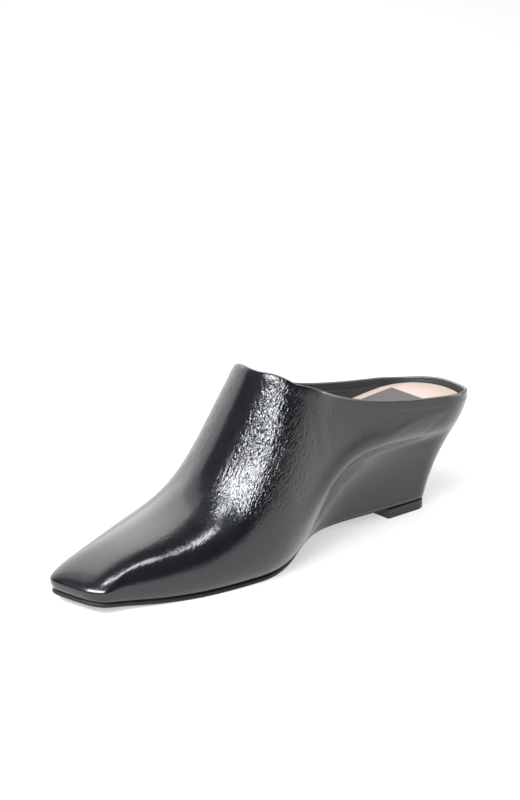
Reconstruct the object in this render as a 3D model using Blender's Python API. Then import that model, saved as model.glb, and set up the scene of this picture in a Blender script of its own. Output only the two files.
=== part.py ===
"""A square-toed wedge mule for the left foot: a leather upper drawn down over the wedge,
an insole with a sock, an outsole and a heel lift.

The toe points to -X, the lateral side is -Y, the medial side is +Y, and Z is up.
Stations run from the toe (0) to the back of the heel (1), as shares of LENGTH.
"""

import bmesh
import bpy
import numpy as np
from mathutils import Vector

# Driving sizes, in metres
LENGTH = 0.252
BALL_BREADTH = 0.078
INSTEP_HEIGHT = 0.1005
SEAT_HEIGHT = 0.0555
RIM_HEIGHT = SEAT_HEIGHT + 0.0040
LEATHER = 0.0018
CLEARANCE = 0.0003
INSOLE_CLEARANCE = 0.0004

# Sole, wedge and lift
OUTSOLE_THICKNESS = 0.0022
WAIST_SOLE_THICKNESS = 0.0008
SOLE_MARGIN = 0.0005
WAIST_SOLE_MARGIN = -0.0008
WAIST_ARCH = 0.0011
TOE_SPRING = 0.0044
LIFT_HEIGHT = 0.0048
LIFT_LENGTH = 0.0285
LIFT_PROUD = 0.0003
WEDGE_RAKE = 0.0268
INSOLE_THICKNESS = 0.0024
INSOLE_TOE_GAP = 0.0018
PATCH_THICKNESS = 0.0006
PATCH_BREADTH = 0.0360
PATCH_LENGTH = 0.0480
PATCH_INSET = 0.0250

# Where the profile changes, as shares of LENGTH
SKEW_END = 0.160
SPRING_END = 0.262
TREAD_END = 0.368
WAIST_END = 0.595
ARCH_END = 0.880
THROAT = 0.433
CORE_FRONT = 0.469

# Roundings of the outlines: depth in metres, and the power of the superellipse
TOE_DEPTH = 0.0145
TOE_POWER = 3.8
TOE_INSET = 0.0012
TOE_SKEW = 0.16
TOE_PIVOT = 0.0120
HEEL_DEPTH = 0.0300
HEEL_POWER = 2.2
WEDGE_HEEL_DEPTH = 0.0100
WEDGE_HEEL_POWER = 2.8

# Widest outline of the upper from above: half-breadths as shares of BALL_BREADTH
OUTLINE = (
    # at, lateral, medial
    (0.000, 0.235, 0.235),
    (0.049, 0.252, 0.250),
    (0.140, 0.340, 0.338),
    (0.241, 0.442, 0.425),
    (0.332, 0.497, 0.434),
    (0.413, 0.510, 0.436),
    (0.494, 0.465, 0.402),
    (0.595, 0.400, 0.373),
    (0.717, 0.370, 0.362),
    (0.848, 0.358, 0.358),
    (1.000, 0.350, 0.350),
)

# Sole line under the upper: half-breadths as shares of BALL_BREADTH
SOLE_OUTLINE = (
    # at, lateral, medial
    (0.000, 0.222, 0.222),
    (0.049, 0.230, 0.230),
    (0.140, 0.304, 0.308),
    (0.241, 0.392, 0.396),
    (0.332, 0.428, 0.408),
    (0.413, 0.424, 0.378),
    (0.474, 0.355, 0.305),
    (0.535, 0.250, 0.222),
    (0.605, 0.180, 0.178),
    (0.696, 0.170, 0.170),
    (0.848, 0.175, 0.175),
    (1.000, 0.175, 0.175),
)

# Side view of the last. Girth, where it is widest, is a share of RIM_HEIGHT above the
# floor and crest one of INSTEP_HEIGHT. Shift moves the crest to the medial side as a share
# of BALL_BREADTH, and the powers are the roundness of the section on each side: 2 is an
# ellipse and more is boxier. Behind the throat the crest is only the last's own, which
# gives the walls their lean.
PROFILE = (
    # at, girth, crest, shift, lateral, medial
    (0.000, 0.205, 0.150, 0.000, 2.80, 3.20),
    (0.039, 0.204, 0.190, 0.000, 2.80, 3.00),
    (0.110, 0.210, 0.250, 0.000, 2.70, 2.65),
    (0.190, 0.226, 0.296, -0.012, 2.60, 2.35),
    (0.271, 0.262, 0.374, -0.035, 2.45, 2.00),
    (0.332, 0.304, 0.522, -0.060, 2.35, 1.75),
    (0.393, 0.380, 0.785, -0.090, 2.25, 1.66),
    (0.443, 0.490, 1.020, -0.100, 2.15, 1.69),
    (0.514, 0.633, 1.230, -0.080, 2.10, 1.85),
    (0.615, 0.802, 1.380, -0.035, 2.10, 2.10),
    (0.747, 0.904, 1.480, -0.010, 2.10, 2.10),
    (0.879, 0.949, 1.520, 0.000, 2.10, 2.10),
    (1.000, 0.949, 1.540, 0.000, 2.10, 2.10),
)

# Topline behind the throat, as shares of RIM_HEIGHT above the floor
TOPLINE = (
    # at, lateral, medial
    (0.443, 1.602, 1.560),
    (0.494, 1.532, 1.440),
    (0.575, 1.379, 1.295),
    (0.656, 1.255, 1.168),
    (0.747, 1.160, 1.078),
    (0.848, 1.086, 1.009),
    (0.905, 1.054, 0.977),
    (0.960, 1.016, 0.957),
    (1.000, 0.974, 0.974),
)

# Insole's top face, as shares of SEAT_HEIGHT above the tread
INSOLE_LINE = (
    # at, height
    (0.373, 0.000),
    (0.423, 0.060),
    (0.494, 0.270),
    (0.575, 0.555),
    (0.656, 0.765),
    (0.747, 0.900),
    (0.858, 0.975),
    (1.000, 1.000),
)

# How the leather leaves the sole line and reaches the widest outline, as shares of the
# step between them: lean and rise place the lower handle of the curve, drop the upper.
WALL = (
    # at, lean, rise, drop
    (0.000, 0.60, 0.15, 0.55),
    (0.342, 0.62, 0.12, 0.55),
    (0.443, 0.64, 0.14, 0.50),
    (0.514, 0.50, 0.28, 0.40),
    (0.595, 0.23, 0.58, 0.26),
    (0.696, 0.12, 0.76, 0.18),
    (0.879, 0.12, 0.76, 0.18),
    (1.000, 0.52, 0.66, 0.26),
)

# Mesh of the upper
SIDE_COLUMNS = 44
WALL_ROWS = 7
VAMP_ROWS = 12
FRONT_SAMPLES = 160
SIDE_SAMPLES = 1500
BACK_SAMPLES = 160
CORNER_WEIGHT = 0.020
FAN_END = 0.595
FAN_POWER = 1.25


def spline(table, column):
    """A natural cubic through one column of a table, as a function of the station."""
    x = np.array([row[0] for row in table])
    y = np.array([row[column] for row in table])
    n = len(x)
    h = np.diff(x)
    matrix = np.eye(n)
    right = np.zeros(n)
    for i in range(1, n - 1):
        matrix[i, i - 1 : i + 2] = h[i - 1], 2 * (h[i - 1] + h[i]), h[i]
        right[i] = 3 * ((y[i + 1] - y[i]) / h[i] - (y[i] - y[i - 1]) / h[i - 1])
    c = np.linalg.solve(matrix, right)
    b = np.diff(y) / h - h * (2 * c[:-1] + c[1:]) / 3
    d = np.diff(c) / (3 * h)

    def value(at):
        at = np.clip(at, x[0], x[-1])
        i = np.clip(np.searchsorted(x, at) - 1, 0, n - 2)
        t = at - x[i]
        return y[i] + t * (b[i] + t * (c[i] + t * d[i]))

    return value


def smooth(t):
    """Runs from 0 to 1 with level ends."""
    t = np.clip(t, 0.0, 1.0)
    return t * t * (3.0 - 2.0 * t)


outline_half = {-1: spline(OUTLINE, 1), 1: spline(OUTLINE, 2)}
sole_half = {-1: spline(SOLE_OUTLINE, 1), 1: spline(SOLE_OUTLINE, 2)}
topline_share = {-1: spline(TOPLINE, 1), 1: spline(TOPLINE, 2)}
girth_share, crest_share, shift_share = (spline(PROFILE, k) for k in (1, 2, 3))
power_at = {-1: spline(PROFILE, 4), 1: spline(PROFILE, 5)}
insole_share = spline(INSOLE_LINE, 1)
lean_at, rise_at, drop_at = (spline(WALL, k) for k in (1, 2, 3))


def tread(at):
    """Height of the outsole's underside: toe spring, flat tread, then the waist up to the lift."""
    spring = TOE_SPRING * np.clip((SPRING_END - at) / SPRING_END, 0, 1) ** 2
    rise = smooth((at - TREAD_END) / (WAIST_END - TREAD_END))
    arch = WAIST_ARCH * (1 - smooth((at - WAIST_END) / (ARCH_END - WAIST_END)))
    return spring + (LIFT_HEIGHT + CLEARANCE + arch) * rise


def sole_thickness(at):
    """The outsole thins under the waist and the wedge."""
    thin = smooth((at - TREAD_END) / (WAIST_END - TREAD_END))
    return OUTSOLE_THICKNESS + (WAIST_SOLE_THICKNESS - OUTSOLE_THICKNESS) * thin


def sole_margin(at):
    """How far the outsole's edge stands out from the upper's lower edge."""
    thin = smooth((at - TREAD_END) / (WAIST_END - TREAD_END))
    return SOLE_MARGIN + (WAIST_SOLE_MARGIN - SOLE_MARGIN) * thin


def sole_line(at):
    """Height of the upper's lower edge, just clear of the outsole."""
    return tread(at) + sole_thickness(at) + CLEARANCE


def insole_top(at):
    """Height of the insole's upper face."""
    ball = sole_line(at) + INSOLE_THICKNESS
    return ball + (SEAT_HEIGHT - ball) * np.clip(insole_share(at), 0, 1) * (at > INSOLE_LINE[0][0])


def spread(s, y):
    """How far a plan point lies out from the crest: 0 on it, and 1 on the widest outline."""
    at = s / LENGTH
    off = y - shift_share(at) * BALL_BREADTH
    lateral = outline_half[-1](at) * BALL_BREADTH + y - off
    medial = outline_half[1](at) * BALL_BREADTH - y + off
    across = np.where(off < 0, -off / lateral, off / medial)
    front = np.clip((TOE_DEPTH - s) / TOE_DEPTH, 0, None)
    back = np.clip((s - LENGTH + HEEL_DEPTH) / HEEL_DEPTH, 0, None)
    power = np.where(front > 0, TOE_POWER, HEEL_POWER)
    return (across**power + front**power + back**power) ** (1 / power)


def last_height(s, y, edge=1.0):
    """Height of the last above the widest outline at a plan point; edge is the spread there."""
    at = s / LENGTH
    girth = girth_share(at) * RIM_HEIGHT
    crest = crest_share(at) * INSTEP_HEIGHT
    is_lateral = y < shift_share(at) * BALL_BREADTH
    power = np.where(is_lateral, power_at[-1](at), power_at[1](at))
    return girth + (crest - girth) * np.clip(1 - (spread(s, y) / edge) ** power, 0, 1) ** (1 / power)


def side_loops(side):
    """Dense matching rows of plan points from the toe's middle to the heel's middle on one side:
    the widest outline, its centre on the crest, and the sole line."""
    angle = np.linspace(0, np.pi / 2, FRONT_SAMPLES, endpoint=False)
    front = np.cos(angle) ** (2 / TOE_POWER)
    front_side = np.sin(angle) ** (2 / TOE_POWER)
    middle = np.linspace(TOE_DEPTH, LENGTH - HEEL_DEPTH, SIDE_SAMPLES, endpoint=False)
    angle = np.linspace(0, np.pi / 2, BACK_SAMPLES)
    s = np.concatenate(
        [TOE_DEPTH * (1 - front), middle, LENGTH - HEEL_DEPTH * (1 - np.sin(angle) ** (2 / HEEL_POWER))]
    )
    breadth = np.concatenate([front_side, np.ones(SIDE_SAMPLES), np.cos(angle) ** (2 / HEEL_POWER)])
    centre_s = np.clip(s, TOE_DEPTH, LENGTH - HEEL_DEPTH)
    centre_y = shift_share(centre_s / LENGTH) * BALL_BREADTH
    centre_y[: len(front)] *= front_side
    outline_y = side * breadth * outline_half[side](s / LENGTH) * BALL_BREADTH
    outline_y += (1 - breadth) * centre_y

    wedge_back = LENGTH - WEDGE_RAKE
    sole_s = np.concatenate(
        [
            TOE_INSET + (TOE_DEPTH - TOE_INSET) * (1 - front),
            middle,
            wedge_back - WEDGE_HEEL_DEPTH * (1 - np.sin(angle) ** (2 / WEDGE_HEEL_POWER)),
        ]
    )
    shift = (LENGTH - HEEL_DEPTH) - (wedge_back - WEDGE_HEEL_DEPTH)
    start = WAIST_END * LENGTH * 0.9
    mid = slice(len(front), len(front) + SIDE_SAMPLES)
    sole_s[mid] -= shift * smooth((middle - start) / (LENGTH - HEEL_DEPTH - start))
    sole_breadth = np.concatenate(
        [front_side, np.ones(SIDE_SAMPLES), np.cos(angle) ** (2 / WEDGE_HEEL_POWER)]
    )
    sole_y = side * sole_breadth * sole_half[side](sole_s / LENGTH) * BALL_BREADTH
    return (
        np.stack([s, outline_y], 1),
        np.stack([centre_s, centre_y], 1),
        np.stack([sole_s, sole_y], 1),
    )


def arc_length(points):
    steps = np.linalg.norm(np.diff(points, axis=0), axis=1)
    return np.concatenate([[0], np.cumsum(steps)])


def pick(rows, where, along):
    """Rows of points read at the positions `where` of the scale `along`."""
    return np.stack([np.interp(where, along, rows[:, k]) for k in range(rows.shape[1])], 1)


def topline_rows(side, outline, centre):
    """The topline on one side as dense points, and their places on the dense loop."""
    at = outline[:, 0] / LENGTH
    behind = np.flatnonzero(at >= THROAT)
    girth = girth_share(at) * RIM_HEIGHT
    crest = crest_share(at) * INSTEP_HEIGHT
    height = topline_share[side](at) * RIM_HEIGHT
    blend = smooth((at - THROAT) / 0.044)
    peak = crest_share(THROAT) * INSTEP_HEIGHT
    height = peak + (height - peak) * blend
    level = np.clip((height - girth) / (crest - girth), 0, 1)
    power = power_at[side](at)
    q = (1 - level**power) ** (1 / power)
    plan = centre + q[:, None] * (outline - centre)
    rows = np.concatenate([plan, height[:, None]], 1)[behind]
    rows[0] = [THROAT * LENGTH, shift_share(THROAT) * BALL_BREADTH, peak]
    return rows, behind


def columns(side, count=SIDE_COLUMNS, wall_rows=WALL_ROWS, vamp_rows=VAMP_ROWS):
    """Columns of the upper's outer face on one side, toe to heel, each from the sole line to
    the topline: an array of count + 1 by rows by 3, in station, y and z."""
    outline, centre, sole = side_loops(side)
    arc = arc_length(outline)
    heading = np.unwrap(np.arctan2(*np.gradient(outline, axis=0).T[::-1]))
    turning = arc + CORNER_WEIGHT * np.abs(heading - heading[0])
    turning += np.abs(np.gradient(heading)).cumsum() * CORNER_WEIGHT
    where = np.interp(np.linspace(0, turning[-1], count + 1), turning, arc)
    top, behind = topline_rows(side, outline, centre)
    top_arc = arc_length(top)

    # In front of FAN_END the columns fan out from the toe to the throat
    fan_arc = np.interp(FAN_END * LENGTH, outline[FRONT_SAMPLES:, 0], arc[FRONT_SAMPLES:])
    fan_top = np.interp(fan_arc, arc[behind], top_arc)
    top_where = np.where(
        where < fan_arc,
        fan_top * (np.clip(where, 0, fan_arc) / fan_arc) ** FAN_POWER,
        np.interp(where, arc[behind], top_arc),
    )
    o, b, t = pick(outline, where, arc), pick(sole, where, arc), pick(top, top_where, top_arc)
    c = pick(centre, where, arc)
    found = []
    for i in range(count + 1):
        at = o[i, 0] / LENGTH
        low = np.array([*b[i], sole_line(b[i, 0] / LENGTH)])
        wide = np.array([*o[i], girth_share(at) * RIM_HEIGHT])
        step = wide - low
        handle_low = low + step * [lean_at(at), lean_at(at), rise_at(at)]
        handle_wide = wide - step * [0, 0, drop_at(at)]
        u = np.linspace(0, 1, 60)[:, None]
        wall = (
            (1 - u) ** 3 * low
            + 3 * (1 - u) ** 2 * u * handle_low
            + 3 * (1 - u) * u**2 * handle_wide
            + u**3 * wide
        )
        if where[i] < fan_arc:
            w = np.linspace(0, 1, 160) ** 2
            plan = o[i] + (t[i, :2] - o[i]) * w[:, None]
            height = last_height(plan[:, 0], plan[:, 1], spread(*o[i]))
            height += (t[i, 2] - height[-1]) * w
        else:
            height = np.linspace(wide[2], t[i, 2], 60)
            power = power_at[side](at)
            level = (height - wide[2]) / (crest_share(at) * INSTEP_HEIGHT - wide[2])
            plan = c[i] + ((1 - level**power) ** (1 / power))[:, None] * (o[i] - c[i])
        vamp = np.concatenate([plan, height[:, None]], 1)
        found.append(
            np.concatenate([resample(wall, wall_rows + 1)[:-1], resample(vamp, vamp_rows + 1)])
        )
    return np.array(found)


def resample(points, count):
    arc = arc_length(points)
    return pick(points, np.linspace(0, arc[-1], count), arc)


def loop_columns(**sizes):
    """Both sides' columns as one loop: lateral from toe to heel, then medial back to the toe."""
    lateral, medial = columns(-1, **sizes), columns(1, **sizes)
    return np.concatenate([lateral, medial[-2:0:-1]])


def inward(grid, depth):
    """The grid of a loop's columns moved in from the outer face by a depth."""
    along = np.roll(grid, -1, 0) - np.roll(grid, 1, 0)
    up = np.gradient(grid, axis=1)
    normal = np.cross(along, up)
    normal /= np.linalg.norm(normal, axis=2, keepdims=True)
    return grid - depth * normal


def skewed(points):
    """Points with the toe's front edge slanted back on the lateral side."""
    points = np.array(points, float)
    skew = TOE_SKEW * (1 - smooth(points[..., 0] / (SKEW_END * LENGTH)))
    points[..., 0] += skew * (TOE_PIVOT - points[..., 1])
    return points


def footprint_middle(points):
    """Middle of the footprint, in station and y."""
    flat = skewed(points).reshape(-1, 3)
    return (flat.min(0) + flat.max(0)) / 2 * [1, 1, 0]


def world(points, middle):
    """Stations turned into the model's own frame, centred on the footprint."""
    return skewed(points) - middle


# OBJECTS BELOW


def make(name, points, faces, colour, roughness):
    """A closed object with its own material."""
    mesh = bpy.data.meshes.new(name)
    mesh.from_pydata([Vector(p) for p in world(points, middle)], [], faces)
    found = bpy.data.objects.new(name, mesh)
    shoe.objects.link(found)
    skin = bpy.data.materials.new(name)
    skin.use_nodes = True
    shader = skin.node_tree.nodes["Principled BSDF"]
    shader.inputs["Base Color"].default_value = (*colour, 1)
    shader.inputs["Roughness"].default_value = roughness
    mesh.materials.append(skin)
    build = bmesh.new()
    build.from_mesh(mesh)
    bmesh.ops.recalc_face_normals(build, faces=build.faces)
    build.to_mesh(mesh)
    build.free()
    return found


def hollow_skin(outer, inner):
    """Points and faces of a wall between two grids that close round in a loop."""
    count, rows = outer.shape[:2]
    points = np.concatenate([outer.reshape(-1, 3), inner.reshape(-1, 3)])
    far = count * rows
    faces = []
    for i in range(count):
        a, b = i * rows, (i + 1) % count * rows
        for j in range(rows - 1):
            faces.append((a + j, b + j, b + j + 1, a + j + 1))
            faces.append((far + a + j + 1, far + b + j + 1, far + b + j, far + a + j))
        faces.append((a, far + a, far + b, b))
        faces.append((a + rows - 1, b + rows - 1, far + b + rows - 1, far + a + rows - 1))
    return points, faces


def plug(lateral, medial, pointed):
    """Points and faces of a solid between two sides of columns that share their last one,
    and their first one too where the front is pointed."""
    count, rows = lateral.shape[:2]
    points = list(lateral.reshape(-1, 3)) + list(medial.reshape(-1, 3))
    shared = {count - 1} | ({0} if pointed else set())

    def at(side, i, j):
        return (0 if side == 0 or i in shared else count * rows) + i * rows + j

    faces = []
    for i in range(count - 1):
        for j in range(rows - 1):
            faces.append((at(0, i, j), at(0, i + 1, j), at(0, i + 1, j + 1), at(0, i, j + 1)))
            faces.append((at(1, i, j), at(1, i, j + 1), at(1, i + 1, j + 1), at(1, i + 1, j)))
        for j in (0, rows - 1):
            faces.append((at(0, i, j), at(1, i, j), at(1, i + 1, j), at(0, i + 1, j)))
    if not pointed:
        for j in range(rows - 1):
            faces.append((at(0, 0, j), at(0, 0, j + 1), at(1, 0, j + 1), at(1, 0, j)))
    tidy = []
    for face in faces:
        face = [v for k, v in enumerate(face) if v != face[k - 1]]
        if len(face) > 2 and len(set(face)) == len(face):
            tidy.append(tuple(face))
    used = sorted({v for face in tidy for v in face})
    place = {v: k for k, v in enumerate(used)}
    return [points[v] for v in used], [tuple(place[v] for v in face) for face in tidy]


def sides(loop):
    """A loop's columns split into lateral and medial, both from toe to heel."""
    return loop[: SIDE_COLUMNS + 1], np.concatenate([loop[:1], loop[: SIDE_COLUMNS - 1 : -1]])


def at_heights(column, heights):
    """Points of one column at the wanted heights."""
    order = np.maximum.accumulate(column[:, 2])
    return np.stack([np.interp(heights, order, column[:, 0]), np.interp(heights, order, column[:, 1])], 1)


def seated(column, raised):
    """The point of a column that meets the insole's top face, moved up by `raised`."""
    gap = column[:, 2] - insole_top(column[:, 0] / LENGTH) - raised
    k = max(1, int(np.argmax(gap > 0)))
    share = np.clip(-gap[k - 1] / (gap[k] - gap[k - 1]), 0, 1)
    point = column[k - 1] + share * (column[k] - column[k - 1])
    point[2] = insole_top(point[0] / LENGTH) + raised
    return point


for old in list(bpy.data.objects):
    bpy.data.objects.remove(old)
shoe = bpy.data.collections.new("wedge_mule")
bpy.context.scene.collection.children.link(shoe)

outer = loop_columns()
middle = footprint_middle(outer)
inner = inward(outer, LEATHER)
inner[:, 0, 2] = outer[:, 0, 2]
inner[:, -1, 2] = outer[:, -1, 2]
make("upper", *hollow_skin(outer, inner), (0.02, 0.02, 0.024), 0.25)

insole_rows = []
for column in inward(outer, LEATHER + INSOLE_CLEARANCE):
    dense = resample(column, 200)
    pair = [seated(dense, -INSOLE_THICKNESS), seated(dense, 0.0)]
    for point in pair:
        point[0] += INSOLE_TOE_GAP * max(0.0, 1 - point[0] / TOE_DEPTH)
    insole_rows.append(pair)
core_rows = []
for column in inward(outer, LEATHER + CLEARANCE):
    dense = resample(column, 200)
    ceiling = seated(dense, -INSOLE_THICKNESS - CLEARANCE)
    floor = sole_line(dense[0, 0] / LENGTH)
    heights = np.linspace(floor, max(ceiling[2], floor + CLEARANCE), 7)
    rows = np.concatenate([at_heights(dense, heights), heights[:, None]], 1)
    rows[-1] = ceiling
    core_rows.append(rows)
lateral, medial = sides(np.array(insole_rows))
make("insole", *plug(lateral, medial, True), (0.88, 0.81, 0.73), 0.6)

lateral, medial = sides(np.array(core_rows))
first = int(np.argmax(lateral[:, 0, 0] > CORE_FRONT * LENGTH))
make("wedge_core", *plug(lateral[first:], medial[first:], False), (0.55, 0.45, 0.33), 0.7)

lateral, medial = sides(outer[:, :1].copy())
soles = []
for line, side in ((lateral, -1), (medial, 1)):
    plan = line[:, 0, :2]
    step = np.gradient(plan, axis=0)
    out = np.stack([-step[:, 1], step[:, 0]], 1) * side
    out[0], out[-1] = (-1, 0), (1, 0)
    out /= np.linalg.norm(out, axis=1, keepdims=True)
    plan = plan + sole_margin(plan[:, :1] / LENGTH) * out
    at = plan[:, 0] / LENGTH
    low = np.concatenate([plan, tread(at)[:, None]], 1)
    high = np.concatenate([plan, (tread(at) + sole_thickness(at))[:, None]], 1)
    soles.append(np.stack([low, high], 1))
make("outsole", *plug(*soles, True), (0.03, 0.025, 0.022), 0.5)

lift_front = LENGTH - WEDGE_RAKE - LIFT_LENGTH
lifts = []
for line, side in zip(soles, (-1, 1)):
    plan = line[:, 0, :2].copy()
    first = int(np.argmax(plan[:, 0] > lift_front))
    share = (lift_front - plan[first - 1, 0]) / (plan[first, 0] - plan[first - 1, 0])
    edge = plan[first - 1] + share * (plan[first] - plan[first - 1])
    plan = np.concatenate([[edge], plan[first:]])
    step = np.gradient(plan, axis=0)
    out = np.stack([-step[:, 1], step[:, 0]], 1) * side
    out[0], out[-1] = (0, side), (1, 0)
    out /= np.linalg.norm(out, axis=1, keepdims=True)
    plan = plan + LIFT_PROUD * out
    low = np.concatenate([plan, np.zeros((len(plan), 1))], 1)
    high = np.concatenate([plan, np.full((len(plan), 1), LIFT_HEIGHT)], 1)
    lifts.append(np.stack([low, high], 1))
make("top_lift", *plug(*lifts, False), (0.015, 0.015, 0.016), 0.6)

steps = np.linspace(LENGTH - PATCH_INSET - PATCH_LENGTH, LENGTH - PATCH_INSET, 9)
patches = []
for side in (-1, 1):
    low = np.stack([steps, np.full(9, side * PATCH_BREADTH / 2), insole_top(steps / LENGTH) + CLEARANCE], 1)
    high = low + [0, 0, PATCH_THICKNESS]
    patches.append(np.stack([low, high], 1))
points = np.concatenate([line.reshape(-1, 3) for line in patches])
faces = []
for i in range(8):
    a, b = 2 * i, 18 + 2 * i
    faces += [(a, a + 2, a + 3, a + 1), (b, b + 1, b + 3, b + 2)]
    faces += [(a, b, b + 2, a + 2), (a + 1, a + 3, b + 3, b + 1)]
faces += [(0, 1, 19, 18), (16, 34, 35, 17)]
make("sock_patch", points, faces, (0.2, 0.2, 0.2), 0.6)
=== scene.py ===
"""Looks for the wedge mule: the leather skin drawn over the wedge, its folded topline and
creases, the covered insole, the outsole and the heel lift, with the studio around them."""

import math

import bpy
import numpy as np
from mathutils import Matrix, Vector

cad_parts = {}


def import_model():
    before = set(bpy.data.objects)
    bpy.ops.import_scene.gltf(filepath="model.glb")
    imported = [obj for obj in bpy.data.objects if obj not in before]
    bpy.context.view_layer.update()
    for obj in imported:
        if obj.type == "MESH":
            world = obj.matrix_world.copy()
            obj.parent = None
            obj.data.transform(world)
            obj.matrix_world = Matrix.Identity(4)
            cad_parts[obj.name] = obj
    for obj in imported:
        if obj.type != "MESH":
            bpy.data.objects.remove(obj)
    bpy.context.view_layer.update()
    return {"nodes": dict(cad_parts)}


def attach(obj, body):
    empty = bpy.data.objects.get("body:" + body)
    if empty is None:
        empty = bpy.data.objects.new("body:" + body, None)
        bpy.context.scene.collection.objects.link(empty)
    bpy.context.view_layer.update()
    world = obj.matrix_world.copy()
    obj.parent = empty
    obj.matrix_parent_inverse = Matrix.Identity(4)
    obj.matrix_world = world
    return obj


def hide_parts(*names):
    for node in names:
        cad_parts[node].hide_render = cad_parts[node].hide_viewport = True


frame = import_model()

# Driving sizes, in metres
LENGTH = 0.252
BALL_BREADTH = 0.078
INSTEP_HEIGHT = 0.1005
SEAT_HEIGHT = 0.0555
RIM_HEIGHT = SEAT_HEIGHT + 0.0040
LEATHER = 0.0018
CLEARANCE = 0.0003
INSOLE_CLEARANCE = 0.0004

# Sole, wedge and lift
OUTSOLE_THICKNESS = 0.0022
WAIST_SOLE_THICKNESS = 0.0008
SOLE_MARGIN = 0.0005
WAIST_SOLE_MARGIN = -0.0008
WAIST_ARCH = 0.0011
TOE_SPRING = 0.0044
LIFT_HEIGHT = 0.0048
LIFT_LENGTH = 0.0285
LIFT_PROUD = 0.0003
WEDGE_RAKE = 0.0268
INSOLE_THICKNESS = 0.0024
INSOLE_TOE_GAP = 0.0018
PATCH_THICKNESS = 0.0006
PATCH_BREADTH = 0.0360
PATCH_LENGTH = 0.0480
PATCH_INSET = 0.0250

# Where the profile changes, as shares of LENGTH
SKEW_END = 0.160
SPRING_END = 0.262
TREAD_END = 0.368
WAIST_END = 0.595
ARCH_END = 0.880
THROAT = 0.433
CORE_FRONT = 0.469

# Roundings of the outlines: depth in metres, and the power of the superellipse
TOE_DEPTH = 0.0145
TOE_POWER = 3.8
TOE_INSET = 0.0012
TOE_SKEW = 0.16
TOE_PIVOT = 0.0120
HEEL_DEPTH = 0.0300
HEEL_POWER = 2.2
WEDGE_HEEL_DEPTH = 0.0100
WEDGE_HEEL_POWER = 2.8

# Widest outline of the upper from above: half-breadths as shares of BALL_BREADTH
OUTLINE = (
    # at, lateral, medial
    (0.000, 0.235, 0.235),
    (0.049, 0.252, 0.250),
    (0.140, 0.340, 0.338),
    (0.241, 0.442, 0.425),
    (0.332, 0.497, 0.434),
    (0.413, 0.510, 0.436),
    (0.494, 0.465, 0.402),
    (0.595, 0.400, 0.373),
    (0.717, 0.370, 0.362),
    (0.848, 0.358, 0.358),
    (1.000, 0.350, 0.350),
)

# Sole line under the upper: half-breadths as shares of BALL_BREADTH
SOLE_OUTLINE = (
    # at, lateral, medial
    (0.000, 0.222, 0.222),
    (0.049, 0.230, 0.230),
    (0.140, 0.304, 0.308),
    (0.241, 0.392, 0.396),
    (0.332, 0.428, 0.408),
    (0.413, 0.424, 0.378),
    (0.474, 0.355, 0.305),
    (0.535, 0.250, 0.222),
    (0.605, 0.180, 0.178),
    (0.696, 0.170, 0.170),
    (0.848, 0.175, 0.175),
    (1.000, 0.175, 0.175),
)

# Side view of the last. Girth, where it is widest, is a share of RIM_HEIGHT above the
# floor and crest one of INSTEP_HEIGHT. Shift moves the crest to the medial side as a share
# of BALL_BREADTH, and the powers are the roundness of the section on each side: 2 is an
# ellipse and more is boxier. Behind the throat the crest is only the last's own, which
# gives the walls their lean.
PROFILE = (
    # at, girth, crest, shift, lateral, medial
    (0.000, 0.205, 0.150, 0.000, 2.80, 3.20),
    (0.039, 0.204, 0.190, 0.000, 2.80, 3.00),
    (0.110, 0.210, 0.250, 0.000, 2.70, 2.65),
    (0.190, 0.226, 0.296, -0.012, 2.60, 2.35),
    (0.271, 0.262, 0.374, -0.035, 2.45, 2.00),
    (0.332, 0.304, 0.522, -0.060, 2.35, 1.75),
    (0.393, 0.380, 0.785, -0.090, 2.25, 1.66),
    (0.443, 0.490, 1.020, -0.100, 2.15, 1.69),
    (0.514, 0.633, 1.230, -0.080, 2.10, 1.85),
    (0.615, 0.802, 1.380, -0.035, 2.10, 2.10),
    (0.747, 0.904, 1.480, -0.010, 2.10, 2.10),
    (0.879, 0.949, 1.520, 0.000, 2.10, 2.10),
    (1.000, 0.949, 1.540, 0.000, 2.10, 2.10),
)

# Topline behind the throat, as shares of RIM_HEIGHT above the floor
TOPLINE = (
    # at, lateral, medial
    (0.443, 1.602, 1.560),
    (0.494, 1.532, 1.440),
    (0.575, 1.379, 1.295),
    (0.656, 1.255, 1.168),
    (0.747, 1.160, 1.078),
    (0.848, 1.086, 1.009),
    (0.905, 1.054, 0.977),
    (0.960, 1.016, 0.957),
    (1.000, 0.974, 0.974),
)

# Insole's top face, as shares of SEAT_HEIGHT above the tread
INSOLE_LINE = (
    # at, height
    (0.373, 0.000),
    (0.423, 0.060),
    (0.494, 0.270),
    (0.575, 0.555),
    (0.656, 0.765),
    (0.747, 0.900),
    (0.858, 0.975),
    (1.000, 1.000),
)

# How the leather leaves the sole line and reaches the widest outline, as shares of the
# step between them: lean and rise place the lower handle of the curve, drop the upper.
WALL = (
    # at, lean, rise, drop
    (0.000, 0.60, 0.15, 0.55),
    (0.342, 0.62, 0.12, 0.55),
    (0.443, 0.64, 0.14, 0.50),
    (0.514, 0.50, 0.28, 0.40),
    (0.595, 0.23, 0.58, 0.26),
    (0.696, 0.12, 0.76, 0.18),
    (0.879, 0.12, 0.76, 0.18),
    (1.000, 0.52, 0.66, 0.26),
)

# Mesh of the upper
SIDE_COLUMNS = 44
WALL_ROWS = 7
VAMP_ROWS = 12
FRONT_SAMPLES = 160
SIDE_SAMPLES = 1500
BACK_SAMPLES = 160
CORNER_WEIGHT = 0.020
FAN_END = 0.595
FAN_POWER = 1.25


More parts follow.
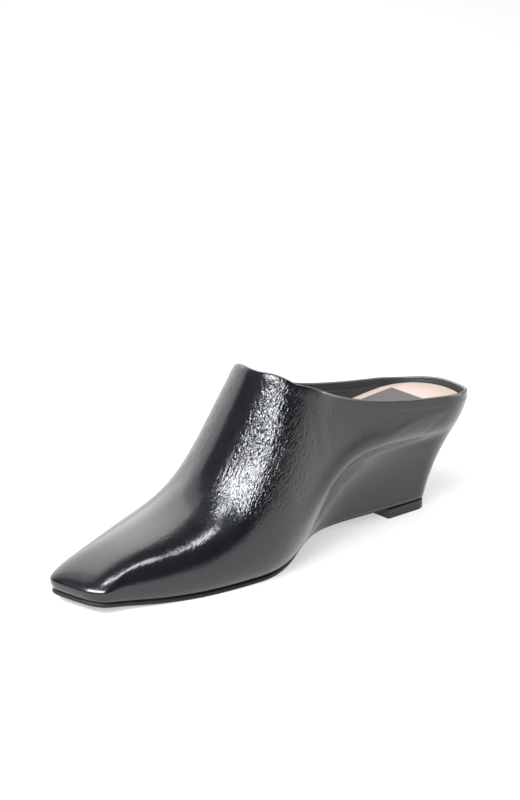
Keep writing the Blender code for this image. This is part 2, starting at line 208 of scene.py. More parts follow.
def spline(table, column):
    """A natural cubic through one column of a table, as a function of the station."""
    x = np.array([row[0] for row in table])
    y = np.array([row[column] for row in table])
    n = len(x)
    h = np.diff(x)
    matrix = np.eye(n)
    right = np.zeros(n)
    for i in range(1, n - 1):
        matrix[i, i - 1 : i + 2] = h[i - 1], 2 * (h[i - 1] + h[i]), h[i]
        right[i] = 3 * ((y[i + 1] - y[i]) / h[i] - (y[i] - y[i - 1]) / h[i - 1])
    c = np.linalg.solve(matrix, right)
    b = np.diff(y) / h - h * (2 * c[:-1] + c[1:]) / 3
    d = np.diff(c) / (3 * h)

    def value(at):
        at = np.clip(at, x[0], x[-1])
        i = np.clip(np.searchsorted(x, at) - 1, 0, n - 2)
        t = at - x[i]
        return y[i] + t * (b[i] + t * (c[i] + t * d[i]))

    return value


def smooth(t):
    """Runs from 0 to 1 with level ends."""
    t = np.clip(t, 0.0, 1.0)
    return t * t * (3.0 - 2.0 * t)


outline_half = {-1: spline(OUTLINE, 1), 1: spline(OUTLINE, 2)}
sole_half = {-1: spline(SOLE_OUTLINE, 1), 1: spline(SOLE_OUTLINE, 2)}
topline_share = {-1: spline(TOPLINE, 1), 1: spline(TOPLINE, 2)}
girth_share, crest_share, shift_share = (spline(PROFILE, k) for k in (1, 2, 3))
power_at = {-1: spline(PROFILE, 4), 1: spline(PROFILE, 5)}
insole_share = spline(INSOLE_LINE, 1)
lean_at, rise_at, drop_at = (spline(WALL, k) for k in (1, 2, 3))


def tread(at):
    """Height of the outsole's underside: toe spring, flat tread, then the waist up to the lift."""
    spring = TOE_SPRING * np.clip((SPRING_END - at) / SPRING_END, 0, 1) ** 2
    rise = smooth((at - TREAD_END) / (WAIST_END - TREAD_END))
    arch = WAIST_ARCH * (1 - smooth((at - WAIST_END) / (ARCH_END - WAIST_END)))
    return spring + (LIFT_HEIGHT + CLEARANCE + arch) * rise


def sole_thickness(at):
    """The outsole thins under the waist and the wedge."""
    thin = smooth((at - TREAD_END) / (WAIST_END - TREAD_END))
    return OUTSOLE_THICKNESS + (WAIST_SOLE_THICKNESS - OUTSOLE_THICKNESS) * thin


def sole_margin(at):
    """How far the outsole's edge stands out from the upper's lower edge."""
    thin = smooth((at - TREAD_END) / (WAIST_END - TREAD_END))
    return SOLE_MARGIN + (WAIST_SOLE_MARGIN - SOLE_MARGIN) * thin


def sole_line(at):
    """Height of the upper's lower edge, just clear of the outsole."""
    return tread(at) + sole_thickness(at) + CLEARANCE


def insole_top(at):
    """Height of the insole's upper face."""
    ball = sole_line(at) + INSOLE_THICKNESS
    return ball + (SEAT_HEIGHT - ball) * np.clip(insole_share(at), 0, 1) * (at > INSOLE_LINE[0][0])


def spread(s, y):
    """How far a plan point lies out from the crest: 0 on it, and 1 on the widest outline."""
    at = s / LENGTH
    off = y - shift_share(at) * BALL_BREADTH
    lateral = outline_half[-1](at) * BALL_BREADTH + y - off
    medial = outline_half[1](at) * BALL_BREADTH - y + off
    across = np.where(off < 0, -off / lateral, off / medial)
    front = np.clip((TOE_DEPTH - s) / TOE_DEPTH, 0, None)
    back = np.clip((s - LENGTH + HEEL_DEPTH) / HEEL_DEPTH, 0, None)
    power = np.where(front > 0, TOE_POWER, HEEL_POWER)
    return (across**power + front**power + back**power) ** (1 / power)


def last_height(s, y, edge=1.0):
    """Height of the last above the widest outline at a plan point; edge is the spread there."""
    at = s / LENGTH
    girth = girth_share(at) * RIM_HEIGHT
    crest = crest_share(at) * INSTEP_HEIGHT
    is_lateral = y < shift_share(at) * BALL_BREADTH
    power = np.where(is_lateral, power_at[-1](at), power_at[1](at))
    return girth + (crest - girth) * np.clip(1 - (spread(s, y) / edge) ** power, 0, 1) ** (1 / power)


def side_loops(side):
    """Dense matching rows of plan points from the toe's middle to the heel's middle on one side:
    the widest outline, its centre on the crest, and the sole line."""
    angle = np.linspace(0, np.pi / 2, FRONT_SAMPLES, endpoint=False)
    front = np.cos(angle) ** (2 / TOE_POWER)
    front_side = np.sin(angle) ** (2 / TOE_POWER)
    middle = np.linspace(TOE_DEPTH, LENGTH - HEEL_DEPTH, SIDE_SAMPLES, endpoint=False)
    angle = np.linspace(0, np.pi / 2, BACK_SAMPLES)
    s = np.concatenate(
        [TOE_DEPTH * (1 - front), middle, LENGTH - HEEL_DEPTH * (1 - np.sin(angle) ** (2 / HEEL_POWER))]
    )
    breadth = np.concatenate([front_side, np.ones(SIDE_SAMPLES), np.cos(angle) ** (2 / HEEL_POWER)])
    centre_s = np.clip(s, TOE_DEPTH, LENGTH - HEEL_DEPTH)
    centre_y = shift_share(centre_s / LENGTH) * BALL_BREADTH
    centre_y[: len(front)] *= front_side
    outline_y = side * breadth * outline_half[side](s / LENGTH) * BALL_BREADTH
    outline_y += (1 - breadth) * centre_y

    wedge_back = LENGTH - WEDGE_RAKE
    sole_s = np.concatenate(
        [
            TOE_INSET + (TOE_DEPTH - TOE_INSET) * (1 - front),
            middle,
            wedge_back - WEDGE_HEEL_DEPTH * (1 - np.sin(angle) ** (2 / WEDGE_HEEL_POWER)),
        ]
    )
    shift = (LENGTH - HEEL_DEPTH) - (wedge_back - WEDGE_HEEL_DEPTH)
    start = WAIST_END * LENGTH * 0.9
    mid = slice(len(front), len(front) + SIDE_SAMPLES)
    sole_s[mid] -= shift * smooth((middle - start) / (LENGTH - HEEL_DEPTH - start))
    sole_breadth = np.concatenate(
        [front_side, np.ones(SIDE_SAMPLES), np.cos(angle) ** (2 / WEDGE_HEEL_POWER)]
    )
    sole_y = side * sole_breadth * sole_half[side](sole_s / LENGTH) * BALL_BREADTH
    return (
        np.stack([s, outline_y], 1),
        np.stack([centre_s, centre_y], 1),
        np.stack([sole_s, sole_y], 1),
    )


def arc_length(points):
    steps = np.linalg.norm(np.diff(points, axis=0), axis=1)
    return np.concatenate([[0], np.cumsum(steps)])


def pick(rows, where, along):
    """Rows of points read at the positions `where` of the scale `along`."""
    return np.stack([np.interp(where, along, rows[:, k]) for k in range(rows.shape[1])], 1)


def topline_rows(side, outline, centre):
    """The topline on one side as dense points, and their places on the dense loop."""
    at = outline[:, 0] / LENGTH
    behind = np.flatnonzero(at >= THROAT)
    girth = girth_share(at) * RIM_HEIGHT
    crest = crest_share(at) * INSTEP_HEIGHT
    height = topline_share[side](at) * RIM_HEIGHT
    blend = smooth((at - THROAT) / 0.044)
    peak = crest_share(THROAT) * INSTEP_HEIGHT
    height = peak + (height - peak) * blend
    level = np.clip((height - girth) / (crest - girth), 0, 1)
    power = power_at[side](at)
    q = (1 - level**power) ** (1 / power)
    plan = centre + q[:, None] * (outline - centre)
    rows = np.concatenate([plan, height[:, None]], 1)[behind]
    rows[0] = [THROAT * LENGTH, shift_share(THROAT) * BALL_BREADTH, peak]
    return rows, behind


def columns(side, count=SIDE_COLUMNS, wall_rows=WALL_ROWS, vamp_rows=VAMP_ROWS):
    """Columns of the upper's outer face on one side, toe to heel, each from the sole line to
    the topline: an array of count + 1 by rows by 3, in station, y and z."""
    outline, centre, sole = side_loops(side)
    arc = arc_length(outline)
    heading = np.unwrap(np.arctan2(*np.gradient(outline, axis=0).T[::-1]))
    turning = arc + CORNER_WEIGHT * np.abs(heading - heading[0])
    turning += np.abs(np.gradient(heading)).cumsum() * CORNER_WEIGHT
    where = np.interp(np.linspace(0, turning[-1], count + 1), turning, arc)
    top, behind = topline_rows(side, outline, centre)
    top_arc = arc_length(top)

    # In front of FAN_END the columns fan out from the toe to the throat
    fan_arc = np.interp(FAN_END * LENGTH, outline[FRONT_SAMPLES:, 0], arc[FRONT_SAMPLES:])
    fan_top = np.interp(fan_arc, arc[behind], top_arc)
    top_where = np.where(
        where < fan_arc,
        fan_top * (np.clip(where, 0, fan_arc) / fan_arc) ** FAN_POWER,
        np.interp(where, arc[behind], top_arc),
    )
    o, b, t = pick(outline, where, arc), pick(sole, where, arc), pick(top, top_where, top_arc)
    c = pick(centre, where, arc)
    found = []
    for i in range(count + 1):
        at = o[i, 0] / LENGTH
        low = np.array([*b[i], sole_line(b[i, 0] / LENGTH)])
        wide = np.array([*o[i], girth_share(at) * RIM_HEIGHT])
        step = wide - low
        handle_low = low + step * [lean_at(at), lean_at(at), rise_at(at)]
        handle_wide = wide - step * [0, 0, drop_at(at)]
        u = np.linspace(0, 1, 60)[:, None]
        wall = (
            (1 - u) ** 3 * low
            + 3 * (1 - u) ** 2 * u * handle_low
            + 3 * (1 - u) * u**2 * handle_wide
            + u**3 * wide
        )
        if where[i] < fan_arc:
            w = np.linspace(0, 1, 160) ** 2
            plan = o[i] + (t[i, :2] - o[i]) * w[:, None]
            height = last_height(plan[:, 0], plan[:, 1], spread(*o[i]))
            height += (t[i, 2] - height[-1]) * w
        else:
            height = np.linspace(wide[2], t[i, 2], 60)
            power = power_at[side](at)
            level = (height - wide[2]) / (crest_share(at) * INSTEP_HEIGHT - wide[2])
            plan = c[i] + ((1 - level**power) ** (1 / power))[:, None] * (o[i] - c[i])
        vamp = np.concatenate([plan, height[:, None]], 1)
        found.append(
            np.concatenate([resample(wall, wall_rows + 1)[:-1], resample(vamp, vamp_rows + 1)])
        )
    return np.array(found)


def resample(points, count):
    arc = arc_length(points)
    return pick(points, np.linspace(0, arc[-1], count), arc)


def loop_columns(**sizes):
    """Both sides' columns as one loop: lateral from toe to heel, then medial back to the toe."""
    lateral, medial = columns(-1, **sizes), columns(1, **sizes)
    return np.concatenate([lateral, medial[-2:0:-1]])


def inward(grid, depth):
    """The grid of a loop's columns moved in from the outer face by a depth."""
    along = np.roll(grid, -1, 0) - np.roll(grid, 1, 0)
    up = np.gradient(grid, axis=1)
    normal = np.cross(along, up)
    normal /= np.linalg.norm(normal, axis=2, keepdims=True)
    return grid - depth * normal


def skewed(points):
    """Points with the toe's front edge slanted back on the lateral side."""
    points = np.array(points, float)
    skew = TOE_SKEW * (1 - smooth(points[..., 0] / (SKEW_END * LENGTH)))
    points[..., 0] += skew * (TOE_PIVOT - points[..., 1])
    return points


def footprint_middle(points):
    """Middle of the footprint, in station and y."""
    flat = skewed(points).reshape(-1, 3)
    return (flat.min(0) + flat.max(0)) / 2 * [1, 1, 0]


def world(points, middle):
    """Stations turned into the model's own frame, centred on the footprint."""
    return skewed(points) - middle


# SKIN

# Fine mesh of the skin
FINE_COLUMNS = 170
FINE_WALL_ROWS = 40
FINE_VAMP_ROWS = 62
RIM_STEPS = 5

# Topline: folded edge and the seam inside it
FOLD_BAND = 0.0040
FOLD_STEP = 0.00018
SEAM_DROP = 0.0036
SEAM_DEPTH = 0.00035


def blur_rows(grid, passes):
    """Evens a grid along its columns, and keeps both ends where they are."""
    for _ in range(passes):
        grid[:, 1:-1] += 0.5 * ((grid[:, :-2] + grid[:, 2:]) / 2 - grid[:, 1:-1])
    return grid


def blur_loop(grid, passes):
    """Evens a grid round its loop."""
    for _ in range(passes):
        grid += 0.5 * ((np.roll(grid, 1, 0) + np.roll(grid, -1, 0)) / 2 - grid)
    return grid


def normals_of(grid):
    along = np.roll(grid, -1, 0) - np.roll(grid, 1, 0)
    normal = np.cross(along, np.gradient(grid, axis=1))
    return normal / np.linalg.norm(normal, axis=2, keepdims=True)


def trough(points, path, width, depth, fade=0.25):
    """How far a soft groove along a path of stations and heights moves the skin at each point."""
    path = np.array(path, float)
    best = np.full(points.shape[:-1], 1e9)
    place = np.zeros(points.shape[:-1])
    arc = arc_length(path)
    for k in range(len(path) - 1):
        a, b = path[k], path[k + 1]
        step = b - a
        share = np.clip(((points - a) @ step) / (step @ step), 0, 1)
        away = np.linalg.norm(points - a - share[..., None] * step, axis=-1)
        near = away < best
        best = np.where(near, away, best)
        place = np.where(near, (arc[k] + share * (arc[k + 1] - arc[k])) / arc[-1], place)
    ends = smooth(place / fade) * smooth((1 - place) / fade)
    return -depth * np.exp(-((best / width) ** 2)) * ends


outer = loop_columns(count=FINE_COLUMNS, wall_rows=FINE_WALL_ROWS, vamp_rows=FINE_VAMP_ROWS)
middle = footprint_middle(outer)
outer = blur_rows(outer, 30)
outer = blur_loop(outer, 2)
COUNT, ROWS = outer.shape[:2]


def shoe_mesh(name, points, faces, materials, indices=None, smooth_faces=True):
    mesh = bpy.data.meshes.new(name)
    points = world(points, middle)
    mesh.from_pydata(points.tolist(), [], [list(f) for f in faces])
    for material in materials:
        mesh.materials.append(material)
    if indices is not None:
        mesh.polygons.foreach_set("material_index", np.array(indices, dtype=np.int32))
    if smooth_faces:
        mesh.polygons.foreach_set("use_smooth", np.ones(len(mesh.polygons), dtype=bool))
    mesh.update()
    found = bpy.data.objects.new(name, mesh)
    bpy.context.scene.collection.objects.link(found)
    return found


def plug(lateral, medial, pointed):
    """Points and faces of a solid between two sides of columns that share their last one,
    and their first one too where the front is pointed."""
    count, rows = lateral.shape[:2]
    points = np.concatenate([lateral.reshape(-1, 3), medial.reshape(-1, 3)])
    shared = {count - 1} | ({0} if pointed else set())

    def at(side, i, j):
        return (0 if side == 0 or i in shared else count * rows) + i * rows + j

    faces = []
    for i in range(count - 1):
        for j in range(rows - 1):
            faces.append((at(0, i, j), at(0, i + 1, j), at(0, i + 1, j + 1), at(0, i, j + 1)))
            faces.append((at(1, i, j), at(1, i, j + 1), at(1, i + 1, j + 1), at(1, i + 1, j)))
        faces.append((at(0, i, 0), at(1, i, 0), at(1, i + 1, 0), at(0, i + 1, 0)))
        j = rows - 1
        faces.append((at(0, i, j), at(0, i + 1, j), at(1, i + 1, j), at(1, i, j)))
    if not pointed:
        for j in range(rows - 1):
            faces.append((at(0, 0, j), at(0, 0, j + 1), at(1, 0, j + 1), at(1, 0, j)))
    tidy = []
    for face in faces:
        face = [v for k, v in enumerate(face) if v != face[k - 1]]
        if len(face) > 2 and len(set(face)) == len(face):
            tidy.append(tuple(face))
    used = sorted({v for face in tidy for v in face})
    place = {v: k for k, v in enumerate(used)}
    return points[used], [tuple(place[v] for v in face) for face in tidy]


def split(loop):
    """A loop's columns as lateral and medial, both from toe to heel."""
    half = len(loop) // 2
    return loop[: half + 1], np.concatenate([loop[:1], loop[: half - 1 : -1]])


# MATERIALS


class Nodes:
    """Short names for the nodes of one material."""

    def __init__(self, name):
        self.material = bpy.data.materials.new(name)
        self.material.use_nodes = True
        self.tree = self.material.node_tree
        self.shader = self.tree.nodes["Principled BSDF"]
        self.place = self.tree.nodes.new("ShaderNodeTexCoord").outputs["Object"]

    def add(self, kind, inputs=(), **settings):
        node = self.tree.nodes.new(kind)
        for key, value in settings.items():
            setattr(node, key, value)
        for key, value in dict(inputs).items():
            self.put(node.inputs[key], value)
        return node

    def put(self, socket, value):
        if isinstance(value, bpy.types.NodeSocket):
            self.tree.links.new(value, socket)
        else:
            socket.default_value = value

    def noise(self, scale, detail=3.0, rough=0.5, vector=None, **more):
        return self.add(
            "ShaderNodeTexNoise",
            {"Vector": vector or self.place, "Scale": scale, "Detail": detail, "Roughness": rough},
            **more,
        ).outputs["Fac"]

    def ramp(self, value, low, high, start=0.0, stop=1.0):
        return self.add(
            "ShaderNodeMapRange",
            {"Value": value, "From Min": low, "From Max": high, "To Min": start, "To Max": stop},
            interpolation_type="SMOOTHSTEP",
        ).outputs["Result"]

    def math(self, operation, a, b=0.0):
        node = self.add("ShaderNodeMath", operation=operation)
        self.put(node.inputs[0], a)
        self.put(node.inputs[1], b)
        return node.outputs[0]

    def mix(self, share, a, b):
        node = self.add("ShaderNodeMix", data_type="RGBA")
        self.put(node.inputs[0], share)
        self.put(node.inputs[6], a)
        self.put(node.inputs[7], b)
        return node.outputs[2]

    def bump(self, height, distance, strength=1.0, normal=None):
        node = self.add("ShaderNodeBump", {"Height": height, "Distance": distance, "Strength": strength})
        if normal is not None:
            self.put(node.inputs["Normal"], normal)
        return node.outputs["Normal"]

    def attribute(self, name):
        return self.add("ShaderNodeAttribute", attribute_name=name).outputs["Fac"]

    def finish(self, **inputs):
        for key, value in inputs.items():
            self.put(self.shader.inputs[key.replace("_", " ")], value)
        return self.material


def leather_material():
    """Black glazed leather, crinkled where the skin is marked for it."""
    n = Nodes("crinkled_leather")
    crinkle = n.attribute("crinkle")
    # Creases run up the instep: the pattern is turned to that line and drawn out along it
    turned = n.add("ShaderNodeMapping", {"Vector": n.place, "Rotation": (0.0, -0.56, 0.0)}).outputs[0]
    drawn = n.add("ShaderNodeMapping", {"Vector": turned, "Scale": (1.0, 1.0, 0.36)}).outputs[0]
    warp = n.add("ShaderNodeTexNoise", {"Vector": n.place, "Scale": 230.0, "Detail": 2.0}).outputs["Color"]
    bent = n.add("ShaderNodeVectorMath", operation="MULTIPLY_ADD")
    n.put(bent.inputs[0], warp)
    n.put(bent.inputs[1], (0.0026, 0.0026, 0.0026))
    n.put(bent.inputs[2], drawn)
    bent = bent.outputs[0]

    def creases(scale, width):
        wave = n.noise(scale, 2.0, 0.55, bent)
        away = n.math("ABSOLUTE", n.math("SUBTRACT", wave, 0.5))
        return n.ramp(away, 0.0, width)

    large = n.math("MULTIPLY", creases(300.0, 0.11), 0.62)
    small = n.math("MULTIPLY", creases(620.0, 0.13), 0.38)
    height = n.math("MULTIPLY", n.math("ADD", large, small), crinkle)
    fine = n.noise(1100.0, 3.0, 0.6)
    broad = n.noise(60.0, 2.0)
    grain = n.bump(fine, 0.00003, 0.5)
    relief = n.bump(height, 0.00023, 1.0, grain)
    shade = n.mix(n.ramp(broad, 0.3, 0.7), (0.0030, 0.0033, 0.0043, 1), (0.0048, 0.0051, 0.0062, 1))
    rough = n.math("ADD", 0.20, n.math("MULTIPLY", broad, 0.06))
    return n.finish(
        Base_Color=shade,
        Roughness=rough,
        IOR=1.45,
        Specular_Tint=(0.92, 0.95, 1.0, 1),
        Normal=relief,
        Coat_Weight=0.5,
        Coat_Roughness=0.08,
        Coat_IOR=1.5,
        Coat_Normal=relief,
    )


def lining_material():
    n = Nodes("black_lining")
    grain = n.bump(n.noise(900.0, 4.0, 0.6), 0.00008, 0.5)
    shade = n.mix(n.noise(90.0), (0.0165, 0.0172, 0.0165, 1), (0.026, 0.0268, 0.026, 1))
    return n.finish(Base_Color=shade, Roughness=0.55, Normal=grain)


# Lighter grey for the topline's rim: a painted highlight that stands in for the light line along the folded edge
def painted_highlight_rim_material():
    n = Nodes("painted_highlight_rim_leather")
    grain = n.bump(n.noise(900.0, 4.0, 0.6), 0.00006, 0.5)
    shade = n.mix(n.noise(120.0), (0.11, 0.112, 0.115, 1), (0.15, 0.152, 0.155, 1))
    return n.finish(Base_Color=shade, Roughness=0.42, Normal=grain)


def sock_material():
    n = Nodes("cream_sock")
    grain = n.bump(n.noise(1300.0, 4.0, 0.65), 0.00006, 0.5)
    shade = n.mix(n.ramp(n.noise(45.0, 3.0), 0.3, 0.7), (0.475, 0.375, 0.325, 1), (0.52, 0.41, 0.36, 1))
    return n.finish(Base_Color=shade, Roughness=0.55, Normal=grain)


def patch_material():
    n = Nodes("grey_patch")
    grain = n.bump(n.noise(1500.0, 4.0, 0.6), 0.00005, 0.5)
    shade = n.mix(n.noise(80.0, 3.0), (0.074, 0.072, 0.071, 1), (0.092, 0.089, 0.087, 1))
    return n.finish(Base_Color=shade, Roughness=0.6, Normal=grain)


def outsole_material():
    n = Nodes("dark_sole_edge")
    layers = n.add("ShaderNodeMapping", {"Vector": n.place, "Scale": (60.0, 60.0, 900.0)}).outputs[0]
    grain = n.bump(n.noise(1.0, 4.0, 0.6, layers), 0.00008, 0.5)
    worn = n.ramp(n.noise(140.0, 3.0, 0.6), 0.60, 0.74)
    shade = n.mix(n.noise(1.0, 3.0, 0.5, layers), (0.008, 0.0068, 0.0062, 1), (0.016, 0.0132, 0.0118, 1))
    shade = n.mix(n.math("MULTIPLY", worn, 0.55), shade, (0.13, 0.055, 0.035, 1))
    return n.finish(Base_Color=shade, Roughness=0.5, IOR=1.35, Normal=grain)


def lift_material():
    n = Nodes("black_rubber")
    grain = n.bump(n.noise(1800.0, 3.0, 0.6), 0.00005, 0.4)
    shade = n.mix(n.noise(200.0, 3.0), (0.011, 0.011, 0.012, 1), (0.019, 0.019, 0.020, 1))
    return n.finish(Base_Color=shade, Roughness=0.5, Normal=grain)


def core_material():
    n = Nodes("moulded_wedge")
    shade = n.mix(n.noise(60.0, 3.0), (0.42, 0.33, 0.23, 1), (0.52, 0.42, 0.30, 1))
    return n.finish(Base_Color=shade, Roughness=0.7, Normal=n.bump(n.noise(700.0), 0.0001, 0.4))


leather = leather_material()
lining = lining_material()
painted_highlight_rim = painted_highlight_rim_material()
sock_leather = sock_material()
patch_cloth = patch_material()
sole_edge = outsole_material()
rubber = lift_material()
core = core_material()

# UPPER

station = outer[..., 0]
height = outer[..., 2]
side_of = np.concatenate([np.full(COUNT // 2 + 1, -1.0), np.full(COUNT - COUNT // 2 - 1, 1.0)])[:, None]
rim_height = outer[:, -1:, 2]
rim_drop = np.zeros((COUNT, ROWS))
steps = np.linalg.norm(np.diff(outer, axis=1), axis=2)
rim_drop[:, :-1] = np.cumsum(steps[:, ::-1], 1)[:, ::-1]

# Creases pressed into the skin: the hollow under the bulge, the softer swell over it, and folds
# in the skin behind the instep
flat = outer[..., [0, 2]]
PRESSED = (
    # width, depth, side (-1 lateral, 1 medial, 0 both), path of stations and heights
    (0.0042, 0.0009, 0, ((0.1290, 0.0270), (0.1412, 0.0368), (0.1555, 0.0438),
                         (0.1665, 0.0455), (0.1829, 0.0425), (0.1974, 0.0408), (0.2128, 0.0405), (0.2400, 0.0415))),
    (0.0062, -0.0015, 0, ((0.1165, 0.0165), (0.1205, 0.0265), (0.1280, 0.0338), (0.1385, 0.0412), (0.1520, 0.0482),
                          (0.1650, 0.0510), (0.1810, 0.0505), (0.1980, 0.0485), (0.2140, 0.0470), (0.2440, 0.0470))),
    (0.0016, 0.00010, -1, ((0.167, 0.052), (0.183, 0.0555), (0.200, 0.059))),
    (0.0016, 0.00010, -1, ((0.181, 0.050), (0.199, 0.054), (0.216, 0.0565))),
    (0.0022, 0.00014, -1, ((0.205, 0.045), (0.217, 0.052), (0.226, 0.055))),
    (0.0018, 0.00014, -1, ((0.124, 0.088), (0.128, 0.070), (0.130, 0.050))),
    (0.0018, 0.00012, -1, ((0.135, 0.079), (0.139, 0.064), (0.140, 0.048))),
    (0.0150, -0.0012, -1, ((0.092, 0.108), (0.108, 0.104), (0.120, 0.100), (0.132, 0.094), (0.148, 0.086))),
    (0.0016, 0.00025, 1, ((0.150, 0.056), (0.168, 0.060), (0.188, 0.062))),
    (0.0018, 0.00028, 1, ((0.170, 0.050), (0.190, 0.054), (0.212, 0.054))),
)
aside = outer[..., 1] - shift_share(station / LENGTH) * BALL_BREADTH
press = np.zeros((COUNT, ROWS))
for width, depth, side, path in PRESSED:
    share = 1.0 if side == 0 else smooth((aside * side - 0.002) / 0.012)
    press += trough(flat, path, width, depth) * share

# The folded topline stands a little proud of the skin below it
normal = normals_of(outer)
proud = FOLD_STEP * (1 - smooth((rim_drop - FOLD_BAND) / 0.0012))
inner = outer - (LEATHER - 0.0001) * normal
inner = inner + normal * (SEAM_DEPTH * np.exp(-(((rim_drop - SEAM_DROP) / 0.0005) ** 2)))[..., None]
shaped = outer + normal * (proud + press)[..., None]
inner[:, 0, 2] = shaped[:, 0, 2]

# How strongly the leather is crinkled: most on both sides of the instep
away = np.abs(aside)
flank = smooth((away - 0.006) / 0.010)
instep = smooth((station - 0.068) / 0.018) * (1 - smooth((station - 0.102) / 0.026)) * smooth((height - 0.030) / 0.014)
instep = instep * (0.55 + 0.45 * smooth((height - 0.052) / 0.016))
behind = smooth((station - 0.100) / 0.020) * (1 - smooth((station - 0.205) / 0.030)) * smooth((height - 0.035) / 0.030)
ridge = (1 - smooth((station - 0.052) / 0.030)) * smooth((away - 0.010) / 0.008) * smooth((height - 0.014) / 0.006)
crinkle_mark = 0.07 + 0.93 * instep * flank + 0.10 * behind * (1 - instep) + 0.14 * ridge * (side_of < 0)
crinkle_mark = crinkle_mark + 0.14 * flank * smooth((station - 0.060) / 0.03) * (1 - smooth((station - 0.120) / 0.03))
pucker = smooth((station - 0.224) / 0.006) * (1 - smooth((rim_drop - 0.0045) / 0.003)) * (side_of > 0)
crinkle_mark = crinkle_mark + 1.2 * pucker

rim = []
top, low = shaped[:, -1], inner[:, -1]
up = shaped[:, -1] - shaped[:, -3]
up /= np.linalg.norm(up, axis=1, keepdims=True)
mid = (top + low) / 2
reach = np.linalg.norm(top - low, axis=1, keepdims=True) / 2
for k in range(1, RIM_STEPS + 1):
    angle = math.pi * k / (RIM_STEPS + 1)
    rim.append(mid + (top - mid) * math.cos(angle) + up * reach * math.sin(angle) * 0.8)
rim = np.stack(rim, 1)
ring = np.concatenate([shaped, rim, inner[:, ::-1]], 1)
RING = ring.shape[1]
faces, indices = [], []
for i in range(COUNT):
    a, b = i * RING, (i + 1) % COUNT * RING
    for j in range(RING):
        k = (j + 1) % RING
        faces.append((a + j, b + j, b + k, a + k))
        # Rim faces (index 2) take the lighter grey of the painted highlight along the topline
        indices.append(0 if j < ROWS or j == RING - 1 else 2 if j < ROWS + RIM_STEPS - 1 else 1)
skin = shoe_mesh("leather_upper", ring.reshape(-1, 3), faces, [leather, lining, painted_highlight_rim], indices)
marks = np.concatenate([crinkle_mark, np.repeat(crinkle_mark[:, -1:], RIM_STEPS, 1), crinkle_mark[:, ::-1]], 1)
layer = skin.data.attributes.new("crinkle", "FLOAT", "POINT")
layer.data.foreach_set("value", marks.reshape(-1).astype(np.float32))
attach(skin, "root")
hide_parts("upper")

# INSOLE


def seated(column, raised):
    """The point of a column that meets the insole's top face, moved up by `raised`."""
    gap = column[:, 2] - insole_top(column[:, 0] / LENGTH) - raised
    k = max(1, int(np.argmax(gap > 0)))
    share = np.clip(-gap[k - 1] / (gap[k] - gap[k - 1]), 0, 1)
    point = column[k - 1] + share * (column[k] - column[k - 1])
    point[2] = insole_top(point[0] / LENGTH) + raised
    return point


fit = inward(outer, LEATHER + INSOLE_CLEARANCE)
edge_rows = []
for column in fit:
    foot = seated(column, -INSOLE_THICKNESS)
    head = seated(column, 0.0)
    for point in (foot, head):
        point[0] += INSOLE_TOE_GAP * max(0.0, 1 - point[0] / TOE_DEPTH)
    edge_rows.append((foot, head))
edge_rows = np.array(edge_rows)
plan = edge_rows[:, 1, :2]
step = np.roll(plan, -1, 0) - np.roll(plan, 1, 0)
out = np.stack([step[:, 1], -step[:, 0]], 1)
out /= np.linalg.norm(out, axis=1, keepdims=True)
rows = [edge_rows[:, 0]]
for inset, drop in ((0.0, 0.0009), (0.00012, 0.0004), (0.0005, 0.0001), (0.0010, 0.0)):
    point = edge_rows[:, 1].copy()
    point[:, :2] -= out * inset
    point[:, 2] = insole_top(point[:, 0] / LENGTH) - drop
    rows.append(point)
insole_ring = np.stack(rows, 1)
points, faces = plug(*split(insole_ring), True)
insole = shoe_mesh("covered_insole", points, faces, [sock_leather])
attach(insole, "root")
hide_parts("insole")

# OUTSOLE AND LIFT

base = outer[:, 0]
step = np.roll(base, -1, 0) - np.roll(base, 1, 0)
out = np.stack([step[:, 1], -step[:, 0]], 1)
out /= np.linalg.norm(out, axis=1, keepdims=True)


def sole_rows(profile):
    rows = []
    for move, share in profile:
        plan = base[:, :2] + out * (sole_margin(base[:, :1] / LENGTH) + move)
        at = plan[:, 0] / LENGTH
        rows.append(np.concatenate([plan, (tread(at) + sole_thickness(at) * share)[:, None]], 1))
    return np.stack(rows, 1)


edge = ((-0.0010, 0.0), (-0.0004, 0.03), (-0.0001, 0.16), (0.0, 0.4), (0.0, 0.62), (-0.00012, 0.85), (-0.0005, 0.98), (-0.0011, 1.0))
points, faces = plug(*split(sole_rows(edge)), True)
outsole = shoe_mesh("full_outsole", points, faces, [sole_edge])
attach(outsole, "root")
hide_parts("outsole")

lift_front = LENGTH - WEDGE_RAKE - LIFT_LENGTH
lifts = []
for line, side in zip(split(base[:, :2] + out * (sole_margin(base[:, :1] / LENGTH) + LIFT_PROUD)), (-1, 1)):
    first = int(np.argmax(line[:, 0] > lift_front))
    share = (lift_front - line[first - 1, 0]) / (line[first, 0] - line[first - 1, 0])
    start = line[first - 1] + share * (line[first] - line[first - 1])
    line = np.concatenate([[start], line[first:]])
    low = np.concatenate([line, np.zeros((len(line), 1))], 1)
    high = np.concatenate([line, np.full((len(line), 1), LIFT_HEIGHT)], 1)
    lifts.append(np.stack([low, high], 1))
points, faces = plug(*lifts, False)
lift = shoe_mesh("heel_lift", points, faces, [rubber], smooth_faces=False)
bevel = lift.modifiers.new("edge", "BEVEL")
bevel.width = 0.00035
bevel.segments = 3
bevel.limit_method = "ANGLE"
bevel.angle_limit = math.radians(40)
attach(lift, "root")
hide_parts("top_lift")

for name, material in (("wedge_core", core), ("sock_patch", patch_cloth)):
    node = bpy.data.objects[name] if name in bpy.data.objects else frame["nodes"][name]
    for slot in node.material_slots:
        slot.material = material

# STUDIO

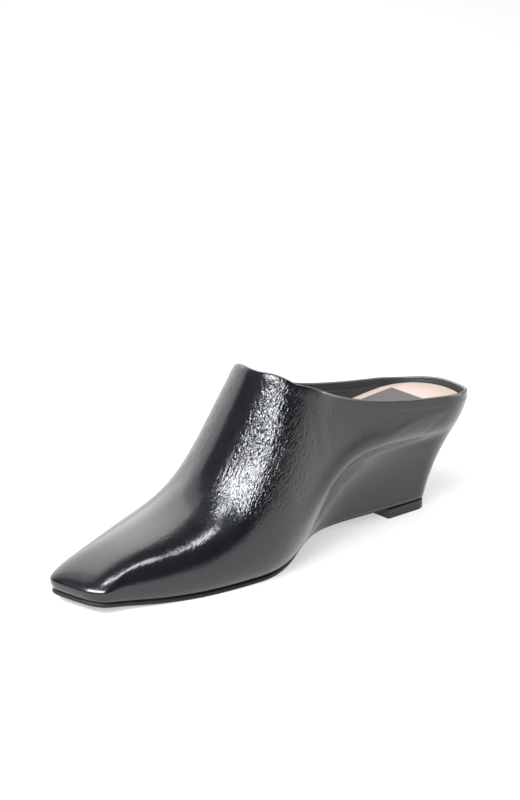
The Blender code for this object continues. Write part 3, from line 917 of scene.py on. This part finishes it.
AIM = Vector((0.1245 - middle[0], -middle[1], 0.040))
DISTANCE = 1.658
AZIMUTH, ELEVATION = math.radians(-41.1), math.radians(20.5)
back = Vector(
    (
        math.sin(AZIMUTH) * math.cos(ELEVATION),
        -math.cos(AZIMUTH) * math.cos(ELEVATION),
        math.sin(ELEVATION),
    )
)
right = Vector((math.cos(AZIMUTH), math.sin(AZIMUTH), 0))
camera_data = bpy.data.cameras.new("camera")
camera_data.sensor_fit = "VERTICAL"
camera_data.sensor_height = 24.0
camera_data.lens = 2.026 * 1658 * 24.0 / 800
camera_data.shift_x = (260 - 264.6) / 800
camera_data.shift_y = (471.2 - 400) / 800
camera_data.clip_end = 20
camera = bpy.data.objects.new("camera", camera_data)
bpy.context.scene.collection.objects.link(camera)
turn = Matrix((right, back.cross(right), back)).transposed()
camera.matrix_world = Matrix.Translation(AIM + back * DISTANCE) @ turn.to_4x4()
bpy.context.scene.camera = camera

floor_mesh = bpy.data.meshes.new("floor")
# The pale floor turns up at its far edges, so low views have no dark line behind it
FLOOR_REACH = 10.0
FLOOR_RISE = 0.6
corners = [(x * FLOOR_REACH, y * FLOOR_REACH, z) for z in (0, FLOOR_RISE) for x, y in ((-1, -1), (1, -1), (1, 1), (-1, 1))]
sides = [(k, (k + 1) % 4, (k + 1) % 4 + 4, k + 4) for k in range(4)]
floor_mesh.from_pydata(corners, [], [(0, 1, 2, 3)] + sides)
floor = bpy.data.objects.new("floor", floor_mesh)
bpy.context.scene.collection.objects.link(floor)
paper = Nodes("white_floor")
floor_mesh.materials.append(
    paper.finish(
        Base_Color=(0.42, 0.42, 0.42, 1), Roughness=0.9, Emission_Color=(1, 1, 1, 1), Emission_Strength=0.52
    )
)

world_node = bpy.data.worlds.new("studio")
bpy.context.scene.world = world_node
world_node.use_nodes = True
world_node.node_tree.nodes["Background"].inputs["Color"].default_value = (1, 1, 1, 1)
world_node.node_tree.nodes["Background"].inputs["Strength"].default_value = 0.07

# Soft boxes: where each stands from the shoe, the way it faces and its long side runs, and its light
PANELS = (
    # name, place, facing, along, long, short, brightness
    ("front_box", (-0.995, -0.39, 0.905), (0.73, 0.10, -0.66), (0, 1, 0), 1.76, 0.36, 26.0),
    ("toe_strip", (-0.175, -0.02, 0.260), (0.28, 0.0, -0.96), (1, 0, 0), 0.045, 0.07, 19.0),
    ("ridge_strip", (-0.19, -0.39, 1.28), (0.08, 0.28, -0.95), (1, 0, 0), 0.31, 0.31, 18.0),
    ("far_wall", (0.27, 1.20, 1.10), (0, -1, 0), (1, 0, 0), 1.87, 2.10, 1.25),
    ("far_glow", (0.42, 1.15, 1.10), (0, -1, 0), (1, 0, 0), 1.40, 1.64, 1.4),
    ("right_card", (1.03, -0.37, 0.18), (-0.93, 0.34, -0.12), (0.34, 0.93, 0), 0.52, 0.27, 7.0),
)
for name, place, facing, along, long, short, brightness in PANELS:
    data = bpy.data.lights.new(name, "AREA")
    data.shape = "RECTANGLE"
    data.size, data.size_y = long, short
    data.energy = brightness * math.pi * long * short
    light = bpy.data.objects.new(name, data)
    light.visible_camera = False
    bpy.context.scene.collection.objects.link(light)
    z = -Vector(facing).normalized()
    x = Vector(along)
    x = (x - z * x.dot(z)).normalized()
    light.matrix_world = Matrix.Translation(place) @ Matrix((x, z.cross(x), z)).transposed().to_4x4()

bpy.context.scene.view_settings.view_transform = "Standard"
